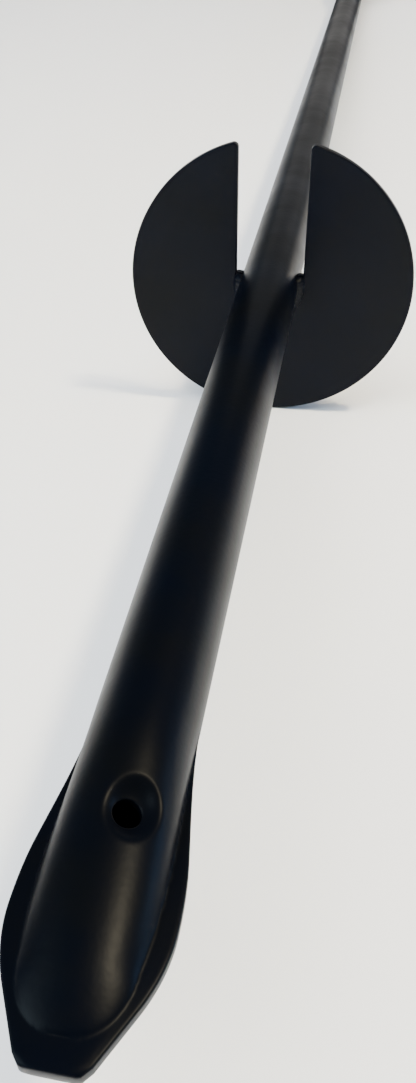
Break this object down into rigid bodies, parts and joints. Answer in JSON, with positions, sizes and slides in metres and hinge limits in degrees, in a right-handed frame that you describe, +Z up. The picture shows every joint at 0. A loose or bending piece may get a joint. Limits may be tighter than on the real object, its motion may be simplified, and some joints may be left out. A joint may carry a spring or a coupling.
{
  "type": "boat anchor",
  "caption": "Sand and shore anchor: a black coated steel tube pressed to a spade tip, with a slotted disc welded on, a T-handle and a line shackle.",
  "frame": {"origin": "middle of the anchor's box on the surface it lies on: it rests on the rim of its disc and on the two hand grips", "axes": "+Y runs from the spade tip to the T-handle; +Z is up, to the side on which the disc's slot opens; the handle's bar lies along X. The shaft leans down to the handle by 3.13 degrees"},
  "size_m": [0.2512, 1.2179, 0.1216],
  "materials": {
    "black_coat": "glossy black powder coat",
    "weld_coat": "glossy black powder coat over weld metal",
    "galvanised_steel": "dull galvanised",
    "grip_rubber": "matt",
    "plug_plastic": "satin"
  },
  "bodies": {
    "anchor": {"anchor_disc": "black_coat", "bar_plug_left": "plug_plastic", "bar_plug_right": "plug_plastic", "bar_weld_left": "weld_coat", "bar_weld_right": "weld_coat", "disc_weld_corner_left": "weld_coat", "disc_weld_corner_right": "weld_coat", "disc_weld_handle_left": "weld_coat", "disc_weld_handle_right": "weld_coat", "disc_weld_spade_left": "weld_coat", "disc_weld_spade_right": "weld_coat", "eye_weld_left": "weld_coat", "eye_weld_right": "weld_coat", "grip_left": "grip_rubber", "grip_right": "grip_rubber", "handle_bar": "black_coat", "line_eye": "black_coat", "shaft_cap": "plug_plastic", "shaft_tube": "black_coat"},
    "shackle": {"shackle_bow": "galvanised_steel"},
    "screw_pin": {"shackle_pin": "galvanised_steel"}
  },
  "joints": [
    {"name": "shackle_swing", "type": "hinge", "parent": "anchor", "child": "shackle", "pos_m": [0, 0.50596, 0.04642], "axis": [-1, 0, 0], "range_deg": [0, 141.5]},
    {"name": "pin_turn", "type": "hinge", "parent": "shackle", "child": "screw_pin", "pos_m": [0, 0.50596, 0.04642], "axis": [1, 0, 0], "range_deg": [0, 2016]}
  ]
}
